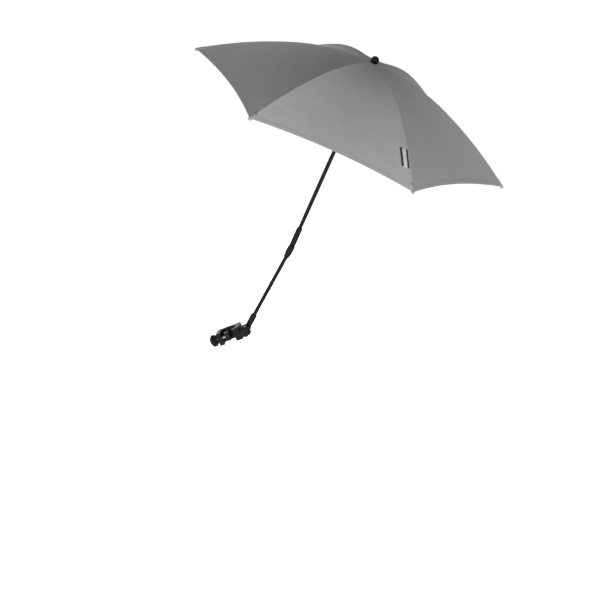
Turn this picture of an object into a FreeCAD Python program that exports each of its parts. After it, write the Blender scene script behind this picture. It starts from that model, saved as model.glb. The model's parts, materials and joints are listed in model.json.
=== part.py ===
import FreeCAD, Part
import Sketcher
import math
import os
from types import SimpleNamespace

# Pram parasol: a tube clamp, a swivelling pole with a tilt knuckle, and a six-rib canopy on a runner.
# The origin is the middle of the clamp's bore. The pole stands in the XZ plane and leans towards +X.

SIZES = {
    # clamp on the pram's tube; its bore leans back from the vertical
    "tube_radius": 11,
    "tube_lean": 24,
    "liner_thickness": 2,
    "liner_half_angle": 70,
    "jaw_wall": 7,
    "jaw_half_width": 17,
    "clamp_width": 30,
    "spine_thickness": 7,
    "spine_gap_width": 3,
    "arm_thickness": 10,
    "arm_reach": 10,
    "shoe_thickness": 8,
    "shoe_half_width": 9,
    "shoe_width": 20,
    "shoe_travel": 8,
    "shoe_spare_gap": 1,
    "spindle_radius": 3,
    "spindle_seat_depth": 4,
    "clamp_knob_gap": 3,
    "clamp_knob_height": 16,
    "clamp_knob_radius": 14,
    "knob_end_share": 0.62,
    "knob_foot_share": 0.33,
    "knob_brow_share": 0.75,
    "knob_bore_share": 0.6,
    "flute_share": 0.3,
    # swivel between the clamp and the lower pole
    "swivel_reach": 33,
    "swivel_radius": 9,
    "foot_tongue_thickness": 8,
    "ear_thickness": 4.6,
    "bolt_radius": 3,
    "bolt_head_radius": 6,
    "bolt_head_height": 3,
    "washer_radius": 6.8,
    "washer_thickness": 1.2,
    "swivel_knob_height": 15,
    "swivel_knob_radius": 13,
    "foot_sleeve_radius": 6.8,
    "foot_sleeve_start_height": 11,
    "foot_sleeve_end_height": 40,
    "foot_socket_depth": 22,
    "foot_rim_share": 0.25,
    # poles
    "pole_radius": 4.4,
    "pole_wall": 0.8,
    "lower_lean": 27.5,
    "lower_reach": 224,
    "upper_lean": 23,
    "crown_height": 463,
    # tilt knuckle
    "knuckle_radius": 7.5,
    "tongue_thickness": 5.2,
    "cheek_thickness": 4.1,
    "tongue_sleeve_radius": 6.5,
    "tongue_sleeve_start_height": 9,
    "tongue_sleeve_end_height": 52,
    "tongue_socket_depth": 32,
    "tongue_lip_share": 0.33,
    "fork_base_start_depth": 9,
    "fork_base_end_depth": 25,
    "fork_base_radius": 5.9,
    "fork_socket_depth": 12,
    "pivot_radius": 3,
    "pivot_head_radius": 5,
    "pivot_head_height": 1.6,
    "rim_radius": 6.4,
    "rim_wall": 1.7,
    "rim_height": 3,
    "button_radius": 4.4,
    "button_stem_radius": 2.1,
    "button_stem_depth": 5,
    "button_travel": 1.4,
    "button_thickness": 2.2,
    "button_dome_height": 0.8,
    "spring_thickness": 0.4,
    "spring_radius": 3.9,
    # crown
    "ring_radius": 12,
    "wire_radius": 0.6,
    "hub_radius": 16,
    "hub_top_height": 2,
    "hub_depth": 7,
    "hub_neck_radius": 8,
    "hub_neck_length": 13,
    "finial_radius": 9,
    "finial_height": 16,
    "finial_skirt_height": 5,
    "finial_waist_share": 0.75,
    "pole_top_height": 11,
    # ribs
    "rib_radius": 1.5,
    "rib_eye_radius": 2.2,
    "rib_eye_thickness": 2.4,
    "slot_width": 3.8,
    "knee_share": 0.5,
    "knee_angle": 22,
    "canopy_radius": 370,
    "drop_share": 0.362,
    "tip_setback_length": 1.5,
    "rib_tip_radius": 2.1,
    "rib_tip_length": 9,
    # clips and stretchers
    "clip_angle": 15.6,
    "clip_radius": 2.1,
    "clip_length": 10,
    "clip_lug_thickness": 2,
    "clip_lug_radius": 2.2,
    "clip_drop_height": 6,
    "trunnion_radius": 1,
    "trunnion_length": 6,
    "stretcher_radius": 1.4,
    "fork_cheek_thickness": 1.6,
    "fork_half_height": 2.2,
    "fork_throat_length": 6,
    "fork_length": 9,
    "stretcher_eye_radius": 2.4,
    "stretcher_eye_thickness": 2.2,
    # runner and its catch
    "runner_drop_height": 90,
    "runner_flange_radius": 16,
    "runner_flange_half_height": 3.2,
    "runner_sleeve_radius": 7.6,
    "runner_length": 34,
    "runner_grip_radius": 9.6,
    "runner_grip_height": 6,
    "catch_height": 22,
    "catch_nose_length": 2.6,
    "catch_root_depth": 2,
    "catch_thickness": 1.8,
    "catch_ledge_height": 0.8,
    # canopy fabric
    "fabric_stand_off_height": 2.5,
    "fabric_thickness": 0.8,
    "fabric_sag_depth": 8,
    "rim_sag_share": 0.3,
    "scallop_depth": 11,
    "corner_trim_length": 1,
    # clearances and cuts
    "gap": 0.3,
    "pin_fit_gap": 0.06,
    "overrun_length": 2,
}
FULL_TURN = 360
QUARTER_TURN = FULL_TURN / 4
RIB_COUNT = 6
RIB_PITCH = FULL_TURN / RIB_COUNT
LOBE_COUNT = 5


class Size:
    # a length or angle that carries both its number and the sheet expression that gives it
    def __init__(self, value, text):
        self.value = float(value)
        self.text = text

    def __add__(self, other):
        other = size(other)
        return Size(self.value + other.value, f"({self.text} + {other.text})")

    def __radd__(self, other):
        return size(other) + self

    def __sub__(self, other):
        other = size(other)
        return Size(self.value - other.value, f"({self.text} - {other.text})")

    def __rsub__(self, other):
        return size(other) - self

    def __mul__(self, other):
        other = size(other)
        return Size(self.value * other.value, f"({self.text} * {other.text})")

    def __rmul__(self, other):
        return size(other) * self

    def __truediv__(self, other):
        other = size(other)
        return Size(self.value / other.value, f"({self.text} / {other.text})")

    def __neg__(self):
        return size(0) - self


def size(number):
    return number if isinstance(number, Size) else Size(number, repr(number))


def sine(angle):
    return Size(math.sin(math.radians(angle.value)), f"sin({angle.text})")


def cosine(angle):
    return Size(math.cos(math.radians(angle.value)), f"cos({angle.text})")


def root(square):
    return Size(math.sqrt(square.value), f"sqrt({square.text})")


def make_sheet(doc):
    sheet = doc.addObject("Spreadsheet::Sheet", "Sizes")
    for row, (name, number) in enumerate(SIZES.items(), 1):
        sheet.set(f"A{row}", name)
        sheet.set(f"B{row}", str(number))
        sheet.setAlias(f"B{row}", name)
    doc.recompute()
    return SimpleNamespace(**{name: Size(sheet.get(name), f"Sizes.{name}") for name in SIZES})


doc = FreeCAD.newDocument("PramParasol")
s = make_sheet(doc)
pieces = []


def vector(x, y, z):
    return FreeCAD.Vector(size(x).value, size(y).value, size(z).value)


def shift(x, y, z):
    return FreeCAD.Placement(vector(x, y, z), FreeCAD.Rotation())


def turn(axis, angle):
    return FreeCAD.Placement(FreeCAD.Vector(), FreeCAD.Rotation(FreeCAD.Vector(*axis), size(angle).value))


ALONG_X = turn((0, 1, 0), QUARTER_TURN)
ALONG_Y = turn((1, 0, 0), -QUARTER_TURN)
TIPPED = {"x": ALONG_X, "y": ALONG_Y, "z": FreeCAD.Placement()}


# sketches whose corners are bound to the sheet


def bind(sketch, kind, place, length):
    number = sketch.addConstraint(Sketcher.Constraint(kind, *place, length.value))
    sketch.setExpression(f"Constraints[{number}]", length.text)


def arc_between(start, end, radius, left):
    # the short arc from start to end, with its middle on the left or right of the way along it
    half = (end - start) * 0.5
    rise = math.sqrt(radius * radius - half.Length * half.Length)
    side = FreeCAD.Vector(-half.y, half.x, 0).normalize() * (rise if left else -rise)
    middle = start + half + side
    first, last = (start, end) if left else (end, start)
    angles = [math.atan2(p.y - middle.y, p.x - middle.x) for p in (first, last)]
    circle = Part.Circle(middle, FreeCAD.Vector(0, 0, 1), radius)
    return Part.ArcOfCircle(circle, angles[0], angles[1])


def draw(sketch, corners, arcs=None, closed=True):
    # corners are pairs of sizes; arcs gives, for a side's number, its radius and whether it turns left
    arcs = arcs or {}
    points = [vector(u, v, 0) for u, v in corners]
    count = len(points) if closed else len(points) - 1
    ends = []
    for side in range(count):
        start, end = points[side], points[(side + 1) % len(points)]
        if side in arcs:
            radius, left = arcs[side]
            sketch.addGeometry(arc_between(start, end, radius.value, left), False)
            ends.append((1, 2) if left else (2, 1))
        else:
            sketch.addGeometry(Part.LineSegment(start, end), False)
            ends.append((1, 2))
    for side in range(count if closed else count - 1):
        after = (side + 1) % count
        sketch.addConstraint(Sketcher.Constraint("Coincident", side, ends[side][1], after, ends[after][0]))
    for number, (u, v) in enumerate(corners):
        at = (number, ends[number][0]) if number < count else (count - 1, ends[-1][1])
        bind(sketch, "DistanceX", (-1, 1, *at), size(u))
        bind(sketch, "DistanceY", (-1, 1, *at), size(v))
    for side, (radius, left) in arcs.items():
        bind(sketch, "Radius", (side,), radius)


def ring(sketch, u, v, radius):
    circle = sketch.addGeometry(Part.Circle(vector(u, v, 0), FreeCAD.Vector(0, 0, 1), radius.value), False)
    bind(sketch, "DistanceX", (-1, 1, circle, 3), size(u))
    bind(sketch, "DistanceY", (-1, 1, circle, 3), size(v))
    bind(sketch, "Radius", (circle,), radius)


# features of a body


def new_body(label):
    body = doc.addObject("PartDesign::Body", label)
    body.Label = label
    return body


def new_sketch(body, role, name, offset=0):
    sketch = body.newObject("Sketcher::SketchObject", name)
    plane = next(f for f in body.Origin.OriginFeatures if f.Role == role)
    sketch.AttachmentSupport = [(plane, "")]
    sketch.MapMode = "FlatFace"
    sketch.setExpression("AttachmentOffset.Base.z", size(offset).text)
    return sketch


def revolve(body, corners, arcs=None):
    sketch = new_sketch(body, "XZ_Plane", f"{body.Label}_profile")
    draw(sketch, corners, arcs)
    feature = body.newObject("PartDesign::Revolution", f"{body.Label}_revolution")
    feature.Profile = sketch
    feature.ReferenceAxis = (sketch, ["V_Axis"])
    feature.Angle = FULL_TURN
    doc.recompute()
    return feature


def extrude(body, role, sketch_maker, length, kind="Pad", offset=0):
    # a pad or pocket, equally far to both sides of its plane
    sketch = new_sketch(body, role, f"{body.Label}_outline", offset)
    sketch_maker(sketch)
    feature = body.newObject(f"PartDesign::{kind}", f"{body.Label}_{kind.lower()}")
    feature.Profile = sketch
    feature.SideType = "Symmetric"
    feature.setExpression("Length", length.text)
    doc.recompute()
    return feature


def polar(body, feature, count):
    pattern = body.newObject("PartDesign::PolarPattern", f"{body.Label}_pattern")
    pattern.Originals = [feature]
    axis = next(f for f in body.Origin.OriginFeatures if f.Role == "Z_Axis")
    pattern.Axis = (axis, [""])
    pattern.Angle = FULL_TURN
    pattern.Occurrences = count
    body.Tip = pattern
    doc.recompute()
    return pattern


def upright(edge):
    return round(abs(edge.tangentAt(edge.FirstParameter).z)) == 1 and edge.Curve.TypeId == "Part::GeomLine"


def dress(body, kind, edges, length):
    # a fillet or chamfer on the edges that the test picks
    doc.recompute()
    base = body.Tip
    names = [f"Edge{n}" for n, e in enumerate(base.Shape.Edges, 1) if edges(e)]
    feature = body.newObject(f"PartDesign::{kind}", f"{body.Label}_{kind.lower()}")
    feature.Base = (base, names)
    feature.setExpression("Radius" if kind == "Fillet" else "Size", length.text)
    doc.recompute()
    return feature


# primitives and booleans


def rod(radius, length, at=(0, 0, 0), along="z", name="rod"):
    cylinder = doc.addObject("Part::Cylinder", name)
    cylinder.setExpression("Radius", radius.text)
    cylinder.setExpression("Height", length.text)
    cylinder.Placement = shift(*at) * TIPPED[along]
    return cylinder


def block(x, y, z, at, name="block"):
    # a box whose middle is at the place given
    box = doc.addObject("Part::Box", name)
    box.setExpression("Length", x.text)
    box.setExpression("Width", y.text)
    box.setExpression("Height", z.text)
    box.Placement = shift(at[0] - x / 2, at[1] - y / 2, at[2] - z / 2)
    return box


def fuse(*shapes):
    joined = doc.addObject("Part::MultiFuse", "fuse")
    joined.Shapes = list(shapes)
    joined.Refine = True
    return joined


def cut(base, *tools):
    result = doc.addObject("Part::Cut", "cut")
    result.Base = base
    result.Tool = tools[0] if len(tools) == 1 else fuse(*tools)
    return result


def piece(shape, label, frame):
    shape.Label = label
    shape.Placement = frame
    pieces.append(shape)
    return shape


# places that several pieces share

seat_radius = s.tube_radius + s.liner_thickness
jaw_back = seat_radius + s.jaw_wall
arm_inner = s.tube_radius + s.shoe_thickness + s.shoe_travel + s.shoe_spare_gap
arm_outer = arm_inner + s.arm_thickness
spine_inner = seat_radius + s.spine_gap_width
spine_outer = spine_inner + s.spine_thickness
ear_inner = s.foot_tongue_thickness / 2 + s.gap
ear_outer = ear_inner + s.ear_thickness
cheek_inner = s.tongue_thickness / 2 + s.gap
cheek_outer = cheek_inner + s.cheek_thickness
pole_bore = s.pole_radius + s.pin_fit_gap

clamp_frame = turn((0, 1, 0), -s.tube_lean)
swivel_frame = clamp_frame * shift(s.swivel_reach, 0, 0)
lower_frame = FreeCAD.Placement(swivel_frame.Base, turn((0, 1, 0), s.lower_lean).Rotation)
fork_frame = lower_frame * shift(0, 0, s.lower_reach)
upper_frame = FreeCAD.Placement(fork_frame.Base, turn((0, 1, 0), s.upper_lean).Rotation)
crown_frame = upper_frame * shift(0, 0, s.crown_height)
runner_frame = crown_frame * shift(0, 0, -s.runner_drop_height)
half_pitch = size(RIB_PITCH / 2)


def rib_frame(number):
    return crown_frame * turn((0, 0, 1), RIB_PITCH * number)


# the rib's line: flat at the crown, one arc to its knee and a wider one to its tip

knee_radius = s.canopy_radius * s.knee_share
canopy_drop = s.canopy_radius * s.drop_share
inner_arc = (knee_radius - s.ring_radius) / sine(s.knee_angle)
knee_drop = inner_arc - inner_arc * cosine(s.knee_angle)
rib_end = s.canopy_radius - s.tip_setback_length
outer_run = rib_end - knee_radius
outer_fall = canopy_drop - knee_drop
outer_arc = (outer_run * outer_run + outer_fall * outer_fall) / (
    2 * (outer_fall * cosine(s.knee_angle) - outer_run * sine(s.knee_angle))
)
outer_middle = (
    knee_radius - outer_arc * sine(s.knee_angle),
    -knee_drop - outer_arc * cosine(s.knee_angle),
)
tip_angle = math.degrees(math.asin(((rib_end - outer_middle[0]) / outer_arc).value))


def rib_line(height):
    # corners and arcs of a line that runs along the rib at a height above its middle
    reach = 1 + height / outer_arc
    corners = [
        (s.ring_radius, height),
        (knee_radius + height * sine(s.knee_angle), height * cosine(s.knee_angle) - knee_drop),
        (
            outer_middle[0] + (rib_end - outer_middle[0]) * reach,
            outer_middle[1] - (canopy_drop + outer_middle[1]) * reach,
        ),
    ]
    return corners, (inner_arc + height, outer_arc + height)


clip_at = (
    s.ring_radius + inner_arc * sine(s.clip_angle),
    inner_arc * cosine(s.clip_angle) - inner_arc,
)
clip_pivot = (
    clip_at[0] - s.clip_drop_height * sine(s.clip_angle),
    clip_at[1] - s.clip_drop_height * cosine(s.clip_angle),
)
stretcher_run = clip_pivot[0] - s.ring_radius
stretcher_fall = clip_pivot[1] + s.runner_drop_height
stretcher_length = root(stretcher_run * stretcher_run + stretcher_fall * stretcher_fall)
stretcher_pitch = math.degrees(math.atan2(stretcher_fall.value, stretcher_run.value))


# clamp


def lobed_knob(label, radius, height, bore, depth, frame):
    # a hand knob with finger flutes round a domed body, bored from its inner end
    body = new_body(label)
    end_radius = radius * s.knob_end_share
    corners = [
        (0, 0),
        (end_radius, 0),
        (radius, height * s.knob_foot_share),
        (radius, height * s.knob_brow_share),
        (end_radius, height),
        (0, height),
    ]
    revolve(body, corners)
    flute_radius = radius * s.flute_share
    flute = extrude(
        body,
        "XY_Plane",
        lambda sketch: ring(sketch, radius + flute_radius / 2, 0, flute_radius),
        (height + s.overrun_length) * 2,
        "Pocket",
    )
    polar(body, flute, LOBE_COUNT)
    extrude(body, "XY_Plane", lambda sketch: ring(sketch, 0, 0, bore), depth * 2, "Pocket")
    return piece(body, label, frame)


def clamp_body():
    # a C frame round the tube, open towards -Y, with two ears for the pole's foot
    body = new_body("clamp_body")
    lip = (seat_radius * cosine(s.liner_half_angle), seat_radius * sine(s.liner_half_angle))
    corners = [
        (jaw_back, -s.jaw_half_width),
        (jaw_back, spine_outer),
        (-arm_outer, spine_outer),
        (-arm_outer, -s.arm_reach),
        (-arm_inner, -s.arm_reach),
        (-arm_inner, spine_inner),
        (0, spine_inner),
        (0, seat_radius),
        (seat_radius, 0),
        (lip[0], -lip[1]),
        (lip[0], -s.jaw_half_width),
    ]
    arcs = {7: (seat_radius, False), 8: (seat_radius, False)}
    extrude(body, "XY_Plane", lambda k: draw(k, corners, arcs), s.clamp_width)

    def upright_on_spine(edge):
        on_spine = abs(edge.CenterOfMass.y - spine_outer.value) < s.gap.value
        return on_spine and upright(edge)

    dress(body, "Fillet", upright_on_spine, s.spine_thickness / 2)
    ear = [
        (jaw_back - s.jaw_wall / 2, -s.swivel_radius),
        (s.swivel_reach, -s.swivel_radius),
        (s.swivel_reach + s.swivel_radius, 0),
        (s.swivel_reach, s.swivel_radius),
        (jaw_back - s.jaw_wall / 2, s.swivel_radius),
    ]
    ear_end = {1: (s.swivel_radius, True), 2: (s.swivel_radius, True)}
    for side in (-1, 1):
        middle = (ear_inner + ear_outer) / 2 * side
        extrude(body, "XZ_Plane", lambda k: draw(k, ear, ear_end), s.ear_thickness, "Pad", middle)
    bolt_hole = s.bolt_radius + s.pin_fit_gap
    extrude(body, "XZ_Plane", lambda k: ring(k, s.swivel_reach, 0, bolt_hole), ear_outer * 4, "Pocket")
    spindle_hole = s.spindle_radius + s.pin_fit_gap
    arm_middle = -(arm_inner + arm_outer) / 2
    through = s.arm_thickness + s.overrun_length
    extrude(body, "YZ_Plane", lambda k: ring(k, 0, 0, spindle_hole), through, "Pocket", arm_middle)
    piece(body, "clamp_body", clamp_frame)


def clamp_liner():
    liner = new_body("clamp_liner")
    turn_out = s.liner_half_angle

    def arc_strip(sketch):
        corners = []
        for radius, angles in ((s.tube_radius, (-1, 0, 1)), (seat_radius, (1, 0, -1))):
            for sign in angles:
                corners.append((radius * cosine(turn_out * sign), radius * sine(turn_out * sign)))
        inner, outer = (s.tube_radius, True), (seat_radius, False)
        draw(sketch, corners, {0: inner, 1: inner, 3: outer, 4: outer})

    extrude(liner, "XY_Plane", arc_strip, s.clamp_width)
    return piece(liner, "clamp_liner", clamp_frame)


def clamp_shoe():
    # a pad with a hollow face that takes the tube, and a seat for the spindle's end
    back = s.tube_radius + s.shoe_thickness
    pad = block(s.shoe_thickness, s.shoe_half_width * 2, s.shoe_width, (s.shoe_thickness / 2 - back, 0, 0))
    # the tube's round side reaches back past the pad's front corners
    below = -s.shoe_width / 2 - s.overrun_length
    tube = rod(s.tube_radius, s.shoe_width + s.overrun_length * 2, (0, 0, below))
    front = s.tube_radius - s.tube_radius * cosine(s.liner_half_angle / 2)
    lips = block(front, s.shoe_half_width * 2, s.shoe_width, (front / 2 - s.tube_radius, 0, 0))
    seat_depth = s.spindle_seat_depth + s.overrun_length
    seat = rod(s.spindle_radius + s.pin_fit_gap, seat_depth, (-back - s.overrun_length, 0, 0), "x")
    return piece(cut(fuse(pad, lips), tube, seat), "clamp_shoe", clamp_frame)


def clamp_screw():
    seat_end = s.tube_radius + s.shoe_thickness - s.spindle_seat_depth + s.pin_fit_gap
    knob_start = arm_outer + s.clamp_knob_gap
    bore_depth = s.clamp_knob_height * s.knob_bore_share
    length = knob_start + bore_depth - seat_end
    spindle = rod(s.spindle_radius, length, (-seat_end - length, 0, 0), "x")
    piece(spindle, "clamp_spindle", clamp_frame * spindle.Placement)
    facing = shift(-knob_start, 0, 0) * turn((0, 1, 0), -QUARTER_TURN)
    lobed_knob(
        "clamp_knob",
        s.clamp_knob_radius,
        s.clamp_knob_height,
        s.spindle_radius + s.pin_fit_gap,
        bore_depth,
        clamp_frame * facing,
    )


# swivel


def swivel():
    knob_start = ear_outer + s.washer_thickness + s.gap
    bore_depth = s.swivel_knob_height * s.knob_bore_share
    length = knob_start + bore_depth + ear_outer
    shank = rod(s.bolt_radius, length, (0, ear_outer - length, 0), "y")
    head = rod(s.bolt_head_radius, s.bolt_head_height, (0, ear_outer, 0), "y")
    piece(fuse(shank, head), "swivel_bolt", swivel_frame)
    disc = rod(s.washer_radius, s.washer_thickness, (0, -ear_outer - s.washer_thickness, 0), "y")
    hole = rod(s.bolt_radius + s.pin_fit_gap, ear_outer * 4, (0, -ear_outer * 3, 0), "y")
    piece(cut(disc, hole), "swivel_washer", swivel_frame)
    lobed_knob(
        "swivel_knob",
        s.swivel_knob_radius,
        s.swivel_knob_height,
        s.bolt_radius + s.pin_fit_gap,
        bore_depth + s.gap,
        swivel_frame * shift(0, -knob_start, 0) * turn((1, 0, 0), QUARTER_TURN),
    )


def round_tab(sketch, radius, reach, end_half):
    # the outline of a tab, round about the origin, that runs up or down to its reach
    way = 1 if reach.value > 0 else -1
    corners = [
        (-radius * way, 0),
        (0, -radius * way),
        (radius * way, 0),
        (end_half * way, reach),
        (-end_half * way, reach),
    ]
    draw(sketch, corners, {0: (radius, True), 1: (radius, True)})


def socket(body, depth, mouth):
    extrude(body, "XY_Plane", lambda k: ring(k, 0, 0, pole_bore), depth * 2, "Pocket", mouth)


def shaft_foot():
    # a flat round tongue on the bolt, and a sleeve that takes the pole's end
    body = new_body("shaft_foot")
    neck = s.foot_sleeve_start_height + s.foot_sleeve_radius / 2
    rim = s.foot_sleeve_radius * s.foot_rim_share
    revolve(
        body,
        [
            (0, s.foot_sleeve_start_height),
            (s.foot_sleeve_radius - rim, s.foot_sleeve_start_height),
            (s.foot_sleeve_radius, s.foot_sleeve_start_height + rim),
            (s.foot_sleeve_radius, s.foot_sleeve_end_height - rim),
            (s.foot_sleeve_radius - rim, s.foot_sleeve_end_height),
            (0, s.foot_sleeve_end_height),
        ],
    )
    tongue = s.foot_tongue_thickness
    neck_half = s.foot_sleeve_radius - rim
    extrude(body, "XZ_Plane", lambda k: round_tab(k, s.swivel_radius, neck, neck_half), tongue)
    extrude(body, "XZ_Plane", lambda k: ring(k, 0, 0, s.bolt_radius + s.pin_fit_gap), tongue * 2, "Pocket")
    socket(body, s.foot_socket_depth, s.foot_sleeve_end_height)
    piece(body, "shaft_foot", lower_frame)


# poles and tilt knuckle


def pole(label, start, end, frame, *windows):
    outer = rod(s.pole_radius, end - start, (0, 0, start))
    below = start - s.overrun_length
    inner = rod(s.pole_radius - s.pole_wall, end - below + s.overrun_length, (0, 0, below))
    return piece(cut(outer, inner, *windows), label, frame)


def lower_shaft():
    start = s.foot_sleeve_end_height - s.foot_socket_depth
    end = s.lower_reach - s.fork_base_end_depth + s.fork_socket_depth
    pole("lower_shaft", start, end, lower_frame)


def catch_top():
    # the catch's ledge stands just under the runner, in the crown's frame
    return -s.runner_drop_height + s.runner_flange_half_height - s.runner_length - s.gap


def upper_shaft():
    window_height = s.catch_height + s.gap * 2
    window_depth = s.pole_radius * 2
    middle = s.crown_height + catch_top() - s.catch_height / 2
    window_width = s.catch_thickness + s.gap * 2
    window = block(window_width, window_depth, window_height, (0, window_depth / 2, middle))
    start = s.tongue_sleeve_end_height - s.tongue_socket_depth
    pole("upper_shaft", start, s.crown_height + s.pole_top_height, upper_frame, window)


def knuckle_fork():
    # two round cheeks and a base that tapers on to the lower pole; one cheek has a rim round the button
    body = new_body("knuckle_fork")
    taper = s.fork_base_start_depth + s.fork_base_radius
    reach = -s.fork_base_start_depth - s.fork_base_radius
    half = s.knuckle_radius
    extrude(body, "XZ_Plane", lambda k: round_tab(k, half, reach, half), cheek_outer * 2)

    dress(body, "Fillet", lambda e: upright(e) and e.CenterOfMass.z < 0, s.cheek_thickness / 2)
    revolve(
        body,
        [
            (0, -s.fork_base_start_depth),
            (s.fork_base_radius, -s.fork_base_start_depth),
            (s.knuckle_radius - s.gap, -taper),
            (s.fork_base_radius, -s.fork_base_end_depth),
            (0, -s.fork_base_end_depth),
        ],
    )
    rim_middle = cheek_outer + s.rim_height / 2

    def rim(sketch):
        ring(sketch, 0, 0, s.rim_radius)
        ring(sketch, 0, 0, s.rim_radius - s.rim_wall)

    extrude(body, "XZ_Plane", rim, s.rim_height, "Pad", rim_middle)
    top = s.knuckle_radius + s.overrun_length
    floor = -s.fork_base_start_depth
    slot = [(-cheek_inner, floor), (cheek_inner, floor), (cheek_inner, top), (-cheek_inner, top)]
    extrude(body, "YZ_Plane", lambda k: draw(k, slot), s.knuckle_radius * 4, "Pocket")
    extrude(body, "XZ_Plane", lambda k: ring(k, 0, 0, s.pivot_radius), cheek_outer * 3, "Pocket")
    socket(body, s.fork_socket_depth, -s.fork_base_end_depth)
    piece(body, "knuckle_fork", fork_frame)


def knuckle_pivot():
    # a rivet with a head on one cheek, bored at the other end for the button's stem
    barrel = rod(s.pivot_radius, cheek_outer * 2, (0, -cheek_outer, 0), "y")
    head = rod(s.pivot_head_radius, s.pivot_head_height, (0, cheek_outer, 0), "y")
    depth = s.button_stem_depth + s.button_travel + s.gap
    mouth = -cheek_outer - s.overrun_length
    bore = rod(s.button_stem_radius + s.pin_fit_gap, depth + s.overrun_length, (0, mouth, 0), "y")
    piece(cut(fuse(barrel, head), bore), "knuckle_pivot", fork_frame)


def tilt_button():
    # a domed push button whose stem runs in the pivot, over a cone spring
    body = new_body("tilt_button")
    under = s.button_travel + s.spring_thickness + s.gap
    top = under + s.button_thickness
    revolve(
        body,
        [
            (0, -s.button_stem_depth),
            (s.button_stem_radius, -s.button_stem_depth),
            (s.button_stem_radius, under),
            (s.button_radius, under),
            (s.button_radius, top - s.button_dome_height),
            (s.button_stem_radius, top),
            (0, top),
        ],
    )
    facing = fork_frame * shift(0, -cheek_outer, 0) * turn((1, 0, 0), QUARTER_TURN)
    piece(body, "tilt_button", facing)
    spring = new_body("tilt_spring")
    inner = s.button_stem_radius + s.pin_fit_gap + s.gap
    revolve(
        spring,
        [
            (s.spring_radius, 0),
            (s.spring_radius, s.spring_thickness),
            (inner, under),
            (inner, under - s.spring_thickness),
        ],
    )
    piece(spring, "tilt_spring", facing)


def knuckle_tongue():
    # a flat round tongue between the cheeks, and the long sleeve that holds the upper pole
    body = new_body("knuckle_tongue")
    neck = s.tongue_sleeve_start_height + s.overrun_length
    step = s.tongue_sleeve_radius - s.pole_radius
    revolve(
        body,
        [
            (0, s.tongue_sleeve_start_height),
            (s.tongue_sleeve_radius, s.tongue_sleeve_start_height),
            (s.tongue_sleeve_radius, s.tongue_sleeve_end_height - step * 2),
            (s.pole_radius + step * s.tongue_lip_share, s.tongue_sleeve_end_height),
            (0, s.tongue_sleeve_end_height),
        ],
    )
    half = s.pole_radius + step / 2
    extrude(body, "XZ_Plane", lambda k: round_tab(k, s.knuckle_radius, neck, half), s.tongue_thickness)
    pivot_hole = s.pivot_radius + s.pin_fit_gap
    extrude(body, "XZ_Plane", lambda k: ring(k, 0, 0, pivot_hole), s.tongue_thickness * 2, "Pocket")
    socket(body, s.tongue_socket_depth, s.tongue_sleeve_end_height)
    piece(body, "knuckle_tongue", upper_frame)


# crown


def slotted(body, inner, outer, top, bottom):
    # radial slots, open outwards and to both ends, one for each rib
    length = outer - inner + s.overrun_length
    corners = [
        (inner, -s.slot_width / 2),
        (inner + length, -s.slot_width / 2),
        (inner + length, s.slot_width / 2),
        (inner, s.slot_width / 2),
    ]
    depth = top - bottom + s.overrun_length * 2
    slot = extrude(body, "XY_Plane", lambda k: draw(k, corners), depth, "Pocket", (top + bottom) / 2)
    polar(body, slot, RIB_COUNT)


def crown():
    hub = new_body("hub_blank")
    revolve(
        hub,
        [
            (pole_bore, -s.hub_neck_length),
            (s.hub_neck_radius, -s.hub_neck_length),
            (s.hub_neck_radius, -s.hub_depth),
            (s.hub_radius, -s.hub_depth + s.hub_top_height),
            (s.hub_radius, s.hub_top_height),
            (pole_bore, s.hub_top_height),
        ],
    )
    slotted(hub, s.ring_radius - s.rib_eye_radius - s.gap, s.hub_radius, s.hub_top_height, -s.hub_depth)
    groove = doc.addObject("Part::Torus", "groove")
    groove.setExpression("Radius1", s.ring_radius.text)
    groove.setExpression("Radius2", s.wire_radius.text)
    piece(cut(hub, groove), "crown_hub", crown_frame)
    wire = doc.addObject("Part::Torus", "wire")
    wire.setExpression("Radius1", s.ring_radius.text)
    wire.setExpression("Radius2", s.wire_radius.text)
    piece(wire, "crown_wire", crown_frame)
    finial = new_body("finial_cap")
    seat = s.fabric_stand_off_height + s.fabric_thickness
    waist = s.finial_radius * s.finial_waist_share
    dome = s.finial_height - s.finial_skirt_height
    revolve(
        finial,
        [
            (0, seat),
            (waist, seat),
            (s.finial_radius, seat + s.finial_skirt_height),
            (0, seat + s.finial_height),
        ],
        {2: ((s.finial_radius * s.finial_radius + dome * dome) / (2 * dome), True)},
    )
    extrude(finial, "XY_Plane", lambda k: ring(k, 0, 0, pole_bore), (s.pole_top_height + s.gap) * 2, "Pocket")
    piece(finial, "finial_cap", crown_frame)


# ribs, clips, tips and stretchers


def rib(number):
    body = new_body(f"rib_{number}")
    path = new_sketch(body, "XZ_Plane", f"rib_{number}_path")
    corners, radii = rib_line(size(0))
    draw(path, corners, {0: (radii[0], False), 1: (radii[1], False)}, closed=False)
    section = new_sketch(body, "YZ_Plane", f"rib_{number}_section", s.ring_radius)
    ring(section, 0, 0, s.rib_radius)
    doc.recompute()
    pipe = body.newObject("PartDesign::AdditivePipe", f"rib_{number}_pipe")
    pipe.Profile = section
    pipe.Spine = (path, ["Edge1", "Edge2"])
    doc.recompute()
    extrude(body, "XZ_Plane", lambda k: ring(k, s.ring_radius, 0, s.rib_eye_radius), s.rib_eye_thickness)
    wire_hole = s.wire_radius + s.pin_fit_gap * 2
    extrude(body, "XZ_Plane", lambda k: ring(k, s.ring_radius, 0, wire_hole), s.slot_width, "Pocket")
    piece(body, f"rib_{number}", rib_frame(number))


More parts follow.
